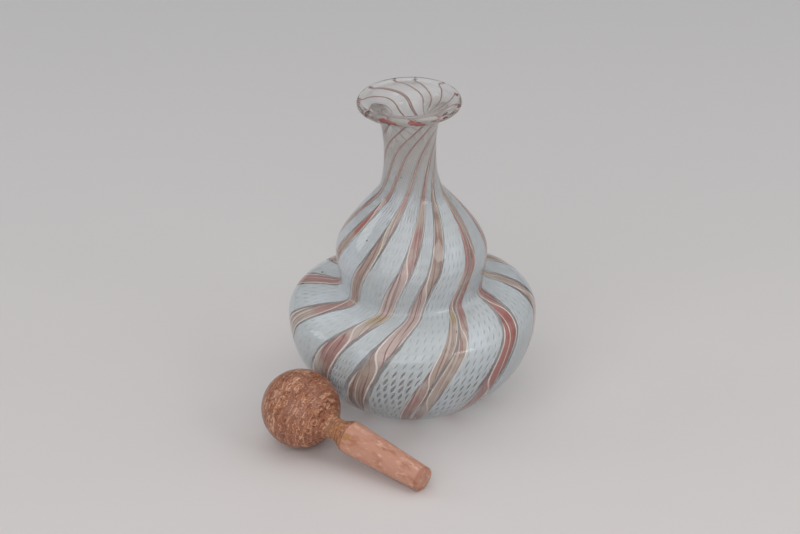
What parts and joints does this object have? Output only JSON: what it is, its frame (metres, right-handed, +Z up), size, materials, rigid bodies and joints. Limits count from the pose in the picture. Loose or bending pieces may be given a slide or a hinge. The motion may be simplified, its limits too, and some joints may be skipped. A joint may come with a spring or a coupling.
{
  "type": "perfume flask",
  "caption": "Round blown glass perfume flask with a squat belly, pinched waist, upper bulb, slender neck and flaring lip, with its ball stopper lying beside it.",
  "frame": {"origin": "centre of the flask's flat base, on the table that it stands on", "axes": "+Z up along the flask's axis; -Y towards the viewer; the stopper lies at the viewer's left, towards -X and -Y"},
  "size_m": [0.0848, 0.1032, 0.1],
  "materials": {
    "filigree_glass": "clear glass with milky white lattice threads and twisted pink and brown ribbons sealed in it",
    "speckled_glass": "orange-brown speckled glass, glossy on the ball and ground matt on the plug"
  },
  "bodies": {
    "root": {"flask": "filigree_glass", "stopper": "speckled_glass"}
  },
  "joints": []
}
